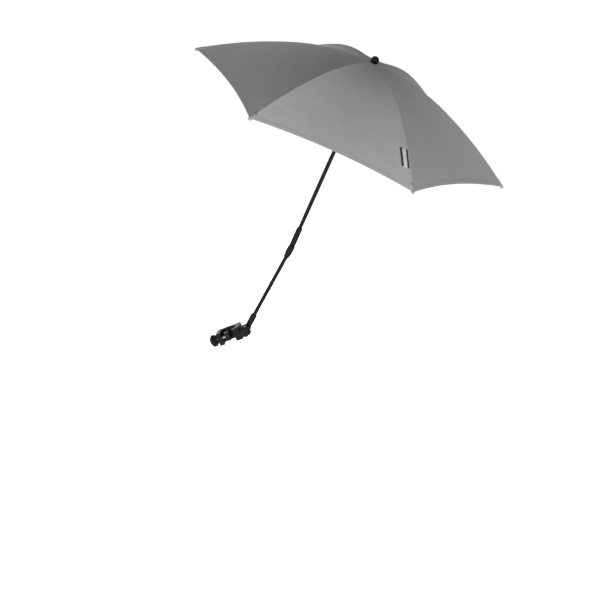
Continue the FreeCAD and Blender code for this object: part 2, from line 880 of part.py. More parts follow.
def rib_clip(number):
    # a moulded sleeve on the rib with a lug below it and a trunnion through the lug
    sleeve = rod(s.clip_radius, s.clip_length, (-s.clip_length / 2, 0, 0), "x")
    bore = rod(s.rib_radius + s.pin_fit_gap, s.clip_length * 2, (-s.clip_length, 0, 0), "x")
    drop = s.clip_drop_height
    thickness = s.clip_lug_thickness
    lug = block(s.clip_lug_radius * 2, thickness, drop, (0, 0, -drop / 2))
    end = rod(s.clip_lug_radius, thickness, (0, -thickness / 2, -drop), "y")
    trunnion = rod(s.trunnion_radius, s.trunnion_length, (0, -s.trunnion_length / 2, -drop), "y")
    place = rib_frame(number) * shift(clip_at[0], 0, clip_at[1]) * turn((0, 1, 0), s.clip_angle)
    piece(cut(fuse(sleeve, lug, end, trunnion), bore), f"rib_clip_{number}", place)


def rib_tip(number):
    # a round-ended cup on the rib's end
    body = new_body(f"rib_tip_{number}")
    revolve(
        body,
        [
            (s.rib_radius + s.pin_fit_gap, -s.rib_tip_length),
            (s.rib_tip_radius, -s.rib_tip_length),
            (s.rib_tip_radius, 0),
            (0, s.rib_tip_radius),
            (0, s.pin_fit_gap),
            (s.rib_radius + s.pin_fit_gap, s.pin_fit_gap),
        ],
        {2: (s.rib_tip_radius, True)},
    )
    place = rib_frame(number) * shift(rib_end, 0, -canopy_drop) * turn((0, 1, 0), QUARTER_TURN + tip_angle)
    piece(body, f"rib_tip_{number}", place)


def stretcher(number):
    # from the clip, at its own origin, down to the runner along its +X: a fork, a rod and an eye
    inner = s.clip_lug_thickness / 2 + s.gap
    cheek = s.fork_cheek_thickness
    throat = s.fork_throat_length
    shapes = []
    for side in (-1, 1):
        middle = side * (inner + cheek / 2)
        shapes.append(rod(s.fork_half_height, cheek, (0, middle - cheek / 2, 0), "y"))
        shapes.append(block(s.fork_length, cheek, s.fork_half_height * 2, (s.fork_length / 2, middle, 0)))
    bridge = s.fork_length - throat
    width = (inner + cheek) * 2
    shapes.append(block(bridge, width, s.fork_half_height * 2, (throat + bridge / 2, 0, 0)))
    shapes.append(rod(s.stretcher_radius, stretcher_length - throat, (throat, 0, 0), "x"))
    eye = s.stretcher_eye_thickness
    shapes.append(rod(s.stretcher_eye_radius, eye, (stretcher_length, -eye / 2, 0), "y"))
    pin_hole = rod(s.trunnion_radius + s.pin_fit_gap, width * 2, (0, -width, 0), "y")
    wire_hole = rod(s.wire_radius + s.pin_fit_gap, width * 2, (stretcher_length, -width, 0), "y")
    downward = turn((0, 1, 0), QUARTER_TURN * 2 - stretcher_pitch)
    place = rib_frame(number) * shift(clip_pivot[0], 0, clip_pivot[1]) * downward
    piece(cut(fuse(*shapes), pin_hole, wire_hole), f"stretcher_{number}", place)


# runner and catch


def runner():
    body = new_body("runner")
    half = s.runner_flange_half_height
    foot = half - s.runner_length
    bore = s.pole_radius + s.pin_fit_gap
    revolve(
        body,
        [
            (bore, foot),
            (s.runner_grip_radius, foot),
            (s.runner_grip_radius, foot + s.runner_grip_height / 2),
            (s.runner_sleeve_radius, foot + s.runner_grip_height),
            (s.runner_sleeve_radius, -half * 2),
            (s.runner_flange_radius, -half),
            (s.runner_flange_radius, half),
            (bore, half),
        ],
    )
    slotted(body, s.ring_radius - s.stretcher_eye_radius - s.gap * 2, s.runner_flange_radius, half, -half * 2)
    piece(body, "runner", runner_frame)


def runner_catch():
    # a flat nose that stands out of the pole's window under the runner
    body = new_body("runner_catch")
    nose = s.pole_radius + s.catch_nose_length
    back = s.pole_radius - s.pole_wall - s.catch_root_depth
    corners = [
        (back, 0),
        (s.pole_radius, 0),
        (nose, -s.catch_ledge_height),
        (nose, -s.catch_ledge_height - s.catch_nose_length),
        (s.pole_radius, -s.catch_height),
        (back, -s.catch_height),
    ]
    extrude(body, "YZ_Plane", lambda k: draw(k, corners), s.catch_thickness)
    piece(body, "runner_catch", crown_frame * shift(0, 0, catch_top()))


# canopy


def gore_line(height):
    # the line half way between two ribs: flat over the hub, then hollow
    (start, knee, tip), radii = rib_line(height)
    narrow = cosine(half_pitch)
    corners = [
        (s.hub_radius + s.gap, start[1]),
        (knee[0] * narrow, knee[1] - s.fabric_sag_depth),
        (tip[0] * narrow, tip[1] - s.fabric_sag_depth * s.rim_sag_share),
    ]
    return corners, radii


def strip(line, hole, angle, name):
    # the fabric's section along a line: flat round the hole, then out to the rim
    sketch = doc.addObject("Sketcher::SketchObject", name)
    upper, upper_radii = line(s.fabric_stand_off_height + s.fabric_thickness)
    lower, lower_radii = line(s.fabric_stand_off_height)
    corners = [(hole, upper[0][1]), *upper, *reversed(lower), (hole, lower[0][1])]
    arcs = {
        1: (upper_radii[0], False),
        2: (upper_radii[1], False),
        4: (lower_radii[1], True),
        5: (lower_radii[0], True),
    }
    draw(sketch, corners, arcs)
    sketch.Placement = turn((0, 0, 1), angle) * turn((1, 0, 0), QUARTER_TURN)
    return sketch


def canopy_panel(number):
    # one gore that hangs hollow from rib to rib, with a hollow edge between the two rib tips
    hole = s.pole_radius + s.gap
    hole_corner = hole / cosine(half_pitch)
    loft = doc.addObject("Part::Loft", f"gore_{number}")
    loft.Sections = [
        strip(rib_line, hole_corner, 0, f"strip_{number}"),
        strip(gore_line, hole, RIB_PITCH / 2, f"strip_{number}_middle"),
        strip(rib_line, hole_corner, RIB_PITCH, f"strip_{number}_next"),
    ]
    loft.Solid = True
    corner = s.canopy_radius - s.corner_trim_length
    half_chord = corner * sine(half_pitch)
    hollow = (half_chord * half_chord + s.scallop_depth * s.scallop_depth) / (2 * s.scallop_depth)
    reach = corner * cosine(half_pitch) - s.scallop_depth + hollow
    height = canopy_drop * 2
    scallop = rod(hollow, height, (reach * cosine(half_pitch), reach * sine(half_pitch), -height))
    return piece(cut(loft, scallop), f"canopy_panel_{number}", rib_frame(number))


clamp_body()
clamp_liner()
clamp_shoe()
clamp_screw()
swivel()
shaft_foot()
lower_shaft()
knuckle_fork()
knuckle_pivot()
tilt_button()
knuckle_tongue()
upper_shaft()
crown()
runner()
runner_catch()
for number in range(1, RIB_COUNT + 1):
    rib(number)
    rib_clip(number)
    rib_tip(number)
    stretcher(number)
    canopy_panel(number)
doc.recompute()

for item in doc.Objects:
    if "Invalid" in item.State or "Error" in item.State:
        raise RuntimeError(f"{item.Label} failed: {item.State}")
for item in pieces:
    if item.Shape.isNull() or not item.Shape.isValid():
        raise RuntimeError(f"{item.Label} has no valid shape")
os.makedirs("parts", exist_ok=True)
for item in pieces:
    item.Shape.exportStep(f"parts/{item.Label}.step")
    print(item.Label, round(item.Shape.Volume), len(item.Shape.Solids))
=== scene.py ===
import json
import math

import bpy
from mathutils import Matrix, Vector


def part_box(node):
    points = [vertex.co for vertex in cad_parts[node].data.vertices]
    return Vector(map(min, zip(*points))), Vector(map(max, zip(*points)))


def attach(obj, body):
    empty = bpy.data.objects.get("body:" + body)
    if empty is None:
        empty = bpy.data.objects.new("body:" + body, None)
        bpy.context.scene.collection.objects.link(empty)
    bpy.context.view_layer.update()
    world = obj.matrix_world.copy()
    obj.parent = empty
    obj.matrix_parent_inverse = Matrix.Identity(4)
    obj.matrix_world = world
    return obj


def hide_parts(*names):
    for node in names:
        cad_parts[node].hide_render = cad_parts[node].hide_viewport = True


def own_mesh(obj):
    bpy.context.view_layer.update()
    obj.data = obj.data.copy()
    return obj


# Pram parasol: grey canvas canopy on six folding ribs, black tilting pole, clamp for the pram's tube.

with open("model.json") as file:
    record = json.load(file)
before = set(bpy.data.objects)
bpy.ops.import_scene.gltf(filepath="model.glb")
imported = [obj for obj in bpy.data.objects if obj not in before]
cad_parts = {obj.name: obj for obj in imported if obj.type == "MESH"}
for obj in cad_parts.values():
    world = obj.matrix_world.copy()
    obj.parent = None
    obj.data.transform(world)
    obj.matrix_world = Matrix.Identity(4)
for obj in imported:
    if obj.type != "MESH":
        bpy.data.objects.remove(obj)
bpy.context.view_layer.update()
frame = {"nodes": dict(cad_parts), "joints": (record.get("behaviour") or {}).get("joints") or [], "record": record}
nodes = frame["nodes"]
joints = {j["name"]: j for j in frame["joints"]}
scene = bpy.context.scene
ribCount = 6
print("frame loaded:", len(nodes), "nodes")


# node wiring: sums on a Val add Math nodes, anything else goes through Finish.node

class Val:
    def __init__(self, finish, socket):
        self.finish = finish
        self.socket = socket

    def maths(self, operation, *values):
        return self.finish.node("Math", {"operation": operation}, dict(enumerate(values)))

    def __add__(self, other):
        return self.maths("ADD", self, other)

    def __radd__(self, other):
        return self.maths("ADD", other, self)

    def __sub__(self, other):
        return self.maths("SUBTRACT", self, other)

    def __rsub__(self, other):
        return self.maths("SUBTRACT", other, self)

    def __mul__(self, other):
        return self.maths("MULTIPLY", self, other)

    def __rmul__(self, other):
        return self.maths("MULTIPLY", other, self)

    def sine(self):
        return self.maths("SINE", self)

    def power(self):  # e to this
        return self.maths("EXPONENT", self)

    def larger(self, other):
        return self.maths("MAXIMUM", self, other)

    def band(self, low, high):  # 0 below low, 1 above high, smooth between
        ends = {1: low, 2: high, 3: 0.0, 4: 1.0}
        return self.finish.node("MapRange", {"interpolation_type": "SMOOTHSTEP"}, {0: self, **ends})

    def part(self, axis):  # one coordinate of a vector
        return self.finish.node("SeparateXYZ", {}, {0: self}, axis)

    def stretch(self, x, y, z):
        return self.finish.node("VectorMath", {"operation": "MULTIPLY"}, {0: self, 1: (x, y, z)})


class Finish:
    def __init__(self, name):
        self.material = bpy.data.materials.new(name)
        self.material.use_nodes = True
        self.tree = self.material.node_tree
        self.tree.nodes.clear()

    def node(self, kind, settings, sockets, out=0):
        made = self.tree.nodes.new("ShaderNode" + kind)
        for key, value in settings.items():
            setattr(made, key, value)
        for key, value in sockets.items():
            if isinstance(value, Val):
                self.tree.links.new(value.socket, made.inputs[key])
            else:
                made.inputs[key].default_value = value
        return Val(self, made.outputs[out]) if made.outputs else None

    def place(self):  # metres, fixed to the piece
        return self.node("TexCoord", {}, {}, "Object")

    def grain(self, where, scale, detail, rough=0.5):  # each finish lists its noises as scale, detail, rough
        sockets = {"Vector": where, "Scale": scale, "Detail": detail, "Roughness": rough}
        return self.node("TexNoise", {}, sockets)

    def shade(self, share, dark, light):
        return self.mixed(share, (*dark, 1), light)

    def mixed(self, share, under, over):
        return self.blended(share, under, (*over, 1))

    def blended(self, share, under, over):
        settings = {"data_type": "RGBA", "clamp_factor": True}
        return self.node("Mix", settings, {0: share, 6: under, 7: over}, 2)

    def bump(self, height, depth, strength):
        return self.node("Bump", {}, {"Strength": strength, "Distance": depth, "Height": height})

    def corners(self, radius, samples, low, high):  # 1 on a rubbed corner, 0 on the flat
        rounded = self.node("Bevel", {"samples": samples}, {"Radius": radius})
        plain = self.node("NewGeometry", {}, {}, "Normal")
        agree = self.node("VectorMath", {"operation": "DOT_PRODUCT"}, {0: rounded, 1: plain}, "Value")
        return (1 - agree).band(low, high)

    def surface(self, sockets):
        face = self.node("BsdfPrincipled", {}, sockets)
        self.node("OutputMaterial", {}, {"Surface": face})
        return self.material


canvas = {
    "dark": (0.295, 0.295, 0.298),
    "light": (0.38, 0.38, 0.383),
    "hemPaintedLitDark": (0.32, 0.32, 0.323),  # painted light and shade: the cloth lighter towards the hem and darker by the crown, as the light falls
    "hemPaintedLitLight": (0.415, 0.415, 0.418),
    "paintedLightFrom": 0.03,  # metres from the crown
    "paintedLightTo": 0.37,
    "yarn": 0.0007,  # one over-and-under of the plain weave
    "slub": 60,  # a yarn's tint runs this much further along it
    "slubNoise": (1.0, 1.0),
    "blotch": (26, 4.0, 0.6),
    "gather": 0.0085,  # how often the seams pull the cloth
    "pull": 0.006,  # how far from a seam that shows
    "wander": 9,  # blotches shift the gathers
    # seam: darker by the seams, painted shade in their crease with some dust
    "tint": {"heather": 0.9, "blotch": 0.5, "crossing": 0.12, "pulls": 0.04, "seam": 0.10, "less": 0.18},
    "height": {"crossing": 0.6, "heather": 0.8, "pulls": 1.6},
    "relief": 0.00012,
    "strength": 0.7,
    "roughness": {"base": 0.92, "blotch": 0.12},
    "shine": 0.2,
    "sheen": 0.08,
    "sheenRough": 0.5,
}


def canvasCloth():
    made = Finish("grey_canvas")
    weave = made.node("UVMap", {"uv_map": "weave"}, {})  # metres along the weft and the warp of each gore
    sewn = made.node("UVMap", {"uv_map": "sewn"}, {})  # metres from the seam and from the hem
    turns = 2 * math.pi / canvas["yarn"]
    weft = (weave.part(0) * turns).sine()
    warp = (weave.part(1) * turns).sine()
    crossing = weft * warp
    fine = 1 / canvas["yarn"]
    warpYarn = made.grain(weave.stretch(fine, fine / canvas["slub"], 1), *canvas["slubNoise"])
    weftYarn = made.grain(weave.stretch(fine / canvas["slub"], fine, 1), *canvas["slubNoise"])
    heather = warpYarn * 0.5 + weftYarn * 0.5
    blotch = made.grain(made.place(), *canvas["blotch"])
    bySeam = (sewn.part(0) * (-1 / canvas["pull"])).power()
    byHem = (sewn.part(1) * (-1 / canvas["pull"])).power()
    drift = blotch * canvas["wander"]
    gather = 2 * math.pi / canvas["gather"]
    seamPulls = (weave.part(1) * gather + drift).sine() * bySeam
    pulls = seamPulls + (weave.part(0) * gather + drift).sine() * byHem
    tint, height = canvas["tint"], canvas["height"]
    share = heather * tint["heather"] + blotch * tint["blotch"] + crossing * tint["crossing"]
    # the seams darker: painted shade in their crease, with some dust
    share = share + pulls * tint["pulls"] - bySeam * tint["seam"] - tint["less"]
    raised = crossing * height["crossing"] + heather * height["heather"] + pulls * height["pulls"]
    # painted light and shade: the crown's colours darker, the hem's lighter, blended along the gore
    crownPaintedShade = made.shade(share, canvas["dark"], canvas["light"])
    hemPaintedLight = made.shade(share, canvas["hemPaintedLitDark"], canvas["hemPaintedLitLight"])
    paintedLightShare = weave.part(1).band(canvas["paintedLightFrom"], canvas["paintedLightTo"])
    return made.surface({
        "Base Color": made.blended(paintedLightShare, crownPaintedShade, hemPaintedLight),
        "Roughness": canvas["roughness"]["base"] - blotch * canvas["roughness"]["blotch"],
        "Specular IOR Level": canvas["shine"],
        "Sheen Weight": canvas["sheen"],
        "Sheen Roughness": canvas["sheenRough"],
        "Normal": made.bump(raised, canvas["relief"], canvas["strength"]),
    })


thread = {
    "grey_thread": {"dark": (0.23, 0.23, 0.234), "light": (0.34, 0.34, 0.344)},
    "black_thread": {"dark": (0.006, 0.006, 0.006), "light": (0.018, 0.018, 0.018)},  # round the tab
    "twist": (2600, 1.0),
    "roughness": {"base": 0.8, "twist": 0.2},
    "relief": 0.0001,
    "strength": 0.5,
}


def sewingThread(name):
    made = Finish(name)
    twist = made.grain(made.place(), *thread["twist"])
    return made.surface({
        "Base Color": made.shade(twist, thread[name]["dark"], thread[name]["light"]),
        "Roughness": thread["roughness"]["base"] - twist * thread["roughness"]["twist"],
        "Normal": made.bump(twist, thread["relief"], thread["strength"]),
    })


plastic = {
    "dark": (0.004, 0.004, 0.0042),
    "light": (0.013, 0.013, 0.0135),
    "rubbed": (0.042, 0.042, 0.043),
    "spark": (2200, 2.0, 0.6),  # etched mould texture
    "rub": (90, 5.0, 0.65),
    "handled": (0.52, 0.72),  # where the rub noise counts as handled
    "worn": (0.38, 0.62),  # and where it wears the corners
    "corner": (0.0006, 6, 0.015, 0.16),  # radius, samples, then how sharp a corner is
    "tint": {"handled": 0.6, "spark": 0.4},
    "roughness": {"base": 0.50, "handled": 0.12, "spark": 0.10, "worn": 0.10},
    "shine": 0.10,
    "relief": 0.00008,
    "strength": 0.5,
}


def mouldedPlastic():
    made = Finish("black_plastic")
    where = made.place()
    spark = made.grain(where, *plastic["spark"])
    rub = made.grain(where, *plastic["rub"])
    handled = rub.band(*plastic["handled"])
    worn = made.corners(*plastic["corner"]) * rub.band(*plastic["worn"])
    tint, rough = plastic["tint"], plastic["roughness"]
    share = handled * tint["handled"] + spark * tint["spark"]
    body = made.shade(share, plastic["dark"], plastic["light"])
    smooth = rough["base"] - handled * rough["handled"]
    return made.surface({
        "Base Color": made.mixed(worn, body, plastic["rubbed"]),
        "Roughness": smooth + spark * rough["spark"] - worn * rough["worn"],
        "Specular IOR Level": plastic["shine"],
        "Normal": made.bump(spark, plastic["relief"], plastic["strength"]),
    })


tube = {
    "dark": (0.004, 0.004, 0.0045),
    "light": (0.011, 0.011, 0.012),
    "scratch": (0.035, 0.035, 0.036),
    "peel": (700, 2.0),  # powder coat's orange peel
    "scuff": (160, 4.0, 0.7),
    "along": 0.12,  # scuffs run along the tube
    "worn": (0.60, 0.76),
    "bare": 0.6,
    "roughness": {"base": 0.34, "peel": 0.10, "worn": 0.14},
    "shine": 0.07,
    "relief": 0.00006,
    "strength": 0.35,
}


def paintedTube():
    made = Finish("black_tube")
    where = made.place()
    peel = made.grain(where, *tube["peel"])
    scuff = made.grain(where.stretch(1, 1, tube["along"]), *tube["scuff"])
    worn = scuff.band(*tube["worn"])
    body = made.shade(peel, tube["dark"], tube["light"])
    rough = tube["roughness"]
    return made.surface({
        "Base Color": made.mixed(worn * tube["bare"], body, tube["scratch"]),
        "Roughness": rough["base"] + peel * rough["peel"] + worn * rough["worn"],
        "Specular IOR Level": tube["shine"],
        "Normal": made.bump(peel, tube["relief"], tube["strength"]),
    })


steel = {
    "dark": (0.40, 0.40, 0.41),
    "light": (0.62, 0.62, 0.63),
    "brush": (900, 3.0, 0.6),
    "along": 0.08,  # brushed one way
    "stain": (140, 4.0),
    "tint": {"brush": 0.6, "stain": 0.4},
    "roughness": {"base": 0.24, "brush": 0.14, "stain": 0.06},
    "relief": 0.00004,
    "strength": 0.4,
}


def turnedSteel():
    made = Finish("bright_steel")
    where = made.place()
    brush = made.grain(where.stretch(1, steel["along"], 1), *steel["brush"])
    stain = made.grain(where, *steel["stain"])
    tint, rough = steel["tint"], steel["roughness"]
    share = brush * tint["brush"] + stain * tint["stain"]
    return made.surface({
        "Base Color": made.shade(share, steel["dark"], steel["light"]),
        "Metallic": 1.0,
        "Roughness": rough["base"] + brush * rough["brush"] + stain * rough["stain"],
        "Normal": made.bump(brush, steel["relief"], steel["strength"]),
    })


rubber = {
    "dark": (0.008, 0.008, 0.008),
    "light": (0.022, 0.022, 0.022),
    "pore": (1500, 3.0, 0.6),
    "dust": (110, 5.0, 0.6),
    "tint": {"dust": 0.7, "pore": 0.3},
    "roughness": {"base": 0.74, "pore": 0.14},
    "shine": 0.3,
    "relief": 0.0001,
    "strength": 0.4,
}


def gripRubber():
    made = Finish("black_rubber")
    where = made.place()
    pore = made.grain(where, *rubber["pore"])
    dust = made.grain(where, *rubber["dust"])
    share = dust * rubber["tint"]["dust"] + pore * rubber["tint"]["pore"]
    return made.surface({
        "Base Color": made.shade(share, rubber["dark"], rubber["light"]),
        "Roughness": rubber["roughness"]["base"] + pore * rubber["roughness"]["pore"],
        "Specular IOR Level": rubber["shine"],
        "Normal": made.bump(pore, rubber["relief"], rubber["strength"]),
    })


finishes = {
    "grey_canvas": canvasCloth(),
    "black_tube": paintedTube(),
    "black_plastic": mouldedPlastic(),
    "bright_steel": turnedSteel(),
    "black_rubber": gripRubber(),
}
threadFinish = sewingThread("grey_thread")
for row in frame["record"]["subparts"]:
    dressed = nodes[row["node"]].data
    dressed.materials.clear()
    dressed.materials.append(finishes[row["material_slot"]])
print("finishes:", ", ".join(finishes))


# the crown's own axes, read from the joints

ribHinges = [Vector(joints[f"rib_fold_{k}"]["pos_m"]) for k in range(1, ribCount + 1)]
crown = sum(ribHinges, Vector()) / ribCount
crownUp = -Vector(joints["runner_slide"]["axis"])


def ribAxes(k):
    out = (ribHinges[k - 1] - crown).normalized()
    return out, crownUp.cross(out)


def newPiece(name, points, faces, finish, body, maps=None):
    mesh = bpy.data.meshes.new(name)
    mesh.from_pydata(points, [], faces)
    mesh.materials.append(finish)
    for face in mesh.polygons:
        face.use_smooth = True
    for title, places in (maps or {}).items():
        layer = mesh.uv_layers.new(name=title)
        for loop in mesh.loops:
            layer.data[loop.index].uv = places[loop.vertex_index]
    piece = bpy.data.objects.new(name, mesh)
    scene.collection.objects.link(piece)
    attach(piece, body)
    return piece


def canvasPiece(name, k, points, faces, weave, sewn):  # cloth that rides on one rib
    maps = {"weave": weave, "sewn": sewn}
    return newPiece(name, points, faces, finishes["grey_canvas"], f"rib_arm_{k}", maps)


# canopy cloth: one sector over each rib, from mid gore to mid gore

cloth = {
    "hole": 0.0055,
    "ring": 0.012,  # where the ribs hinge
    "topReach": 0.015,  # the flat top stays on the crown when the ribs fold
    "knee": 0.185,
    "kneeAngle": math.radians(22),
    "tip": 0.3685,
    "drop": 0.1339,
    "standOff": 0.0025,
    "thickness": 0.0008,
    "sag": 0.0075,  # the gore's hollow between two ribs
    "sagPower": 1.15,  # moves the deepest hollow towards the hem
    "rimSag": 0.3,  # share of the hollow left at the hem
    "rimPower": 3,
    "scallop": 0.0150,  # hem's hollow, along the cloth
    "hem": 0.011,
    "hemRise": 0.0002,
    "seam": 0.0038,  # half of the felled seam over a rib
    "seamRise": 0.0003,
    "seamMost": 0.3,  # share of a gore it may take by the crown
    "step": 0.0011,
    "pucker": 0.00007,  # soft waves along the seams
    "puckerWave": 0.027,
    "puckerReach": 0.022,
    "ripple": {"share": 0.7, "pace": 0.61, "shift": 2},  # a second wave over the first
    "goreShift": 0.5,  # no two gores show the same yarns
    "rows": 100,
    "columns": 24,
    "topRings": 6,
}
midGore = 0.5  # across a gore, from one rib to the next
farFromSeams = (0.1, 0.1)  # metres from a seam and a hem
innerArc = (cloth["knee"] - cloth["ring"]) / math.sin(cloth["kneeAngle"])
kneeDrop = innerArc * (1 - math.cos(cloth["kneeAngle"]))
outerRun = cloth["tip"] - cloth["knee"]
outerFall = cloth["drop"] - kneeDrop
bendRise = outerFall * math.cos(cloth["kneeAngle"]) - outerRun * math.sin(cloth["kneeAngle"])
outerArc = (outerRun ** 2 + outerFall ** 2) / (2 * bendRise)
tipAngle = math.asin((outerRun + outerArc * math.sin(cloth["kneeAngle"])) / outerArc)
flatLength = cloth["ring"] - cloth["hole"]
innerLength = innerArc * cloth["kneeAngle"]
ribLength = flatLength + innerLength + outerArc * (tipAngle - cloth["kneeAngle"])
goreHalf = math.pi / ribCount
topLength = cloth["topReach"] - cloth["hole"]


def ribLine(along, height):  # reach, level and slope of the line over a rib
    if along <= flatLength:
        return cloth["hole"] + along, height, 0.0
    if along <= flatLength + innerLength:
        slope = (along - flatLength) / innerArc
        reach = cloth["ring"] + (innerArc + height) * math.sin(slope)
        return reach, (innerArc + height) * math.cos(slope) - innerArc, slope
    slope = cloth["kneeAngle"] + (along - flatLength - innerLength) / outerArc
    middle = cloth["knee"] - outerArc * math.sin(cloth["kneeAngle"])
    low = -kneeDrop - outerArc * math.cos(cloth["kneeAngle"])
    return middle + (outerArc + height) * math.sin(slope), low + (outerArc + height) * math.cos(slope), slope


def hemAt(across):  # where the cloth ends; across goes from 0 at one rib to 1 at the next
    return ribLength - cloth["scallop"] * 4 * across * (1 - across)


def clothWave(side, across, along, reach):
    away = across * reach / cloth["puckerReach"]
    turns = 2 * math.pi * along / cloth["puckerWave"]
    ripple = cloth["ripple"]
    second = math.sin(ripple["pace"] * turns - ripple["shift"] * side)
    wave = math.sin(turns + side) + ripple["share"] * second
    calm = (1 - 4 * min(across, midGore) ** 2) ** 2  # none at mid gore, where two sectors meet
    return cloth["pucker"] * wave * away * math.exp(1 - away) * calm


def clothPoint(side, across, along, height):  # in the rib's own axes: out, side, up
    reach, level, slope = ribLine(along, height)
    place = Vector((
        reach * (1 - across * (1 - math.cos(2 * goreHalf))),
        side * reach * across * math.sin(2 * goreHalf),
        level,
    ))
    share = along / ribLength
    fade = math.sin(math.pi * min(share, 1) ** cloth["sagPower"])
    fade += cloth["rimSag"] * share ** cloth["rimPower"]
    tilt = math.atan(math.tan(slope) / math.cos(goreHalf))
    inward = Vector((
        -math.sin(tilt) * math.cos(goreHalf),
        -math.sin(tilt) * math.sin(goreHalf) * side,
        -math.cos(tilt),
    ))
    hollow = cloth["sag"] * 4 * across * (1 - across) * fade
    return place + inward * (hollow + clothWave(side, across, along, reach))


def clothColumns():  # (distance from the rib, share of the rest) pairs on one side
    seam, step = cloth["seam"], cloth["step"]
    near = [(seam / 2, 0.0), (seam - step, 0.0), (seam, 0.0)]
    return near + [(seam, (c + 1) / cloth["columns"]) for c in range(cloth["columns"])]


def acrossAt(reach, distance, rest):
    near = min(distance / reach, cloth["seamMost"])
    return near + (midGore - near) * rest


def clothSpot(k, side, across, along, height):
    out, sideways = ribAxes(k)
    spot = clothPoint(side, across, along, height)
    return crown + out * spot.x + sideways * spot.y + crownUp * spot.z


def weaveAt(k, side, across, along, reach):  # metres of cloth from mid gore and from the crown
    return side * (midGore - across) * reach + k * cloth["goreShift"], along


def clothGrid(k, outer):  # rows of (point, weave, sewn); the outer face rises at the seam and the hem
    half = clothColumns()
    columns = [(-1, *c) for c in reversed(half)] + [(1, 0.0, 0.0)] + [(1, *c) for c in half]
    hem = cloth["hem"]
    hemRows = (cloth["step"], hem / 2, hem)
    grid = []
    for row in range(cloth["rows"] + 1 + len(hemRows)):
        line = []
        for side, distance, rest in columns:
            share = min(row / cloth["rows"], 1)
            guess = ribLine(topLength + (ribLength - topLength) * share, 0)[0]
            across = acrossAt(guess, distance, rest)
            end = hemAt(across)
            if row <= cloth["rows"]:
                along = topLength + (end - hem - topLength) * share
            else:
                along = end - hem + hemRows[row - cloth["rows"] - 1]
            height = cloth["standOff"]
            if outer:
                height += cloth["thickness"]
                height += cloth["hemRise"] * (row > cloth["rows"])
                height += cloth["seamRise"] * (rest == 0.0 and distance < cloth["seam"])
            reach = ribLine(along, 0)[0]
            weave = weaveAt(k, side, across, along, reach)
            sewn = (max(across * reach - cloth["seam"], 0), max(end - hem - along, 0))
            line.append((clothSpot(k, side, across, along, height), weave, sewn))
        grid.append(line)
    return grid


def slabRim(rows, columns):  # pairs of neighbours round the edge of a grid of points
    line = columns + 1
    edge = list(range(line)) + [r * line + columns for r in range(1, rows + 1)]
    edge += [rows * line + c for c in reversed(range(columns))] + [r * line for r in reversed(range(1, rows))]
    return list(zip(edge, edge[1:] + edge[:1]))


def slabFaces(rows, columns, first=0, flip=False):  # a thin closed slab: an upper grid, then a lower
    line, below = columns + 1, (rows + 1) * (columns + 1)
    faces = []
    for r in range(rows):
        for c in range(columns):
            ring = [r * line + c, (r + 1) * line + c, (r + 1) * line + c + 1, r * line + c + 1]
            faces.append(ring)
            faces.append([i + below for i in reversed(ring)])
    faces += [[a, b, b + below, a + below] for a, b in slabRim(rows, columns)]
    return [[first + i for i in (reversed(face) if flip else face)] for face in faces]


def clothSector(k):
    top, under = clothGrid(k, True), clothGrid(k, False)
    rows, columns = len(top) - 1, len(top[0]) - 1
    spots = [spot for grid in (top, under) for line in grid for spot in line]
    points, weave, sewn = zip(*spots)
    piece = canvasPiece(f"canopy_cloth_{k}", k, points, slabFaces(rows, columns), weave, sewn)
    below = len(points) // 2
    sharp = {frozenset((a + grid, b + grid)) for a, b in slabRim(rows, columns) for grid in (0, below)}
    for line in piece.data.edges:
        line.use_edge_sharp = frozenset(line.vertices) in sharp
    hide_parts(f"canopy_panel_{k}")
    return piece


def clothTop():  # the flat middle under the finial
    points, weave, faces = [], [], []
    steps, rings = cloth["columns"], cloth["topRings"]
    around = ribCount * steps
    for height in (cloth["standOff"] + cloth["thickness"], cloth["standOff"]):
        for ring in range(rings):
            along = topLength * ring / (rings - 1)
            for turn in range(around):
                k, across = turn // steps + 1, turn % steps / steps
                near = (k, 1, across) if across <= midGore else (k % ribCount + 1, -1, 1 - across)
                spot = clothSpot(*near, along, height)
                points.append(spot)
                weave.append([(spot - crown).dot(axis) for axis in ribAxes(1)])
    below = around * rings
    for turn in range(around):
        after = (turn + 1) % around
        for ring in range(rings - 1):
            low, high = ring * around, (ring + 1) * around
            face = [low + turn, high + turn, high + after, low + after]
            faces.append(face)
            faces.append([i + below for i in reversed(face)])
        rim = (rings - 1) * around
        faces.append([rim + turn, rim + turn + below, rim + after + below, rim + after])
        faces.append([after, after + below, turn + below, turn])
    maps = {"weave": weave, "sewn": [farFromSeams] * len(points)}
    return newPiece("canopy_top", points, faces, finishes["grey_canvas"], "upper_pole", maps)


# lining under each rib's cloth by the crown, wide enough to close the gaps in the folded bundle

lining = {
    "start": 0.0026,  # from the rib's middle
    "end": 0.145,  # along the rib
    "under": 0.0004,  # below the cloth; the other side lies as far below this one
    "thickness": 0.0003,
    "keep": 0.62,  # of its width, folded
    "fold": math.radians(69),  # how far the ribs turn
    "spare": 0.0008,  # past the middle of the folded gap
    "most": 0.85,  # share of the gore
    "rounds": 6,
    "rows": 30,
    "columns": 10,
}


def liningEnd(reach):  # share of the gore that meets the neighbour's lining when folded, found in rounds
    share = midGore
    for attempt in range(lining["rounds"]):
        out = reach * (1 - share * (1 - math.cos(2 * goreHalf)))
        slope = lining["fold"] + (out - cloth["ring"]) / innerArc
        radius = cloth["ring"] + innerArc * (math.sin(slope) - math.sin(lining["fold"]))
        half = radius * math.tan(goreHalf) + lining["spare"]
        share = min(half / (lining["keep"] * reach * math.sin(2 * goreHalf)), lining["most"])
    return share


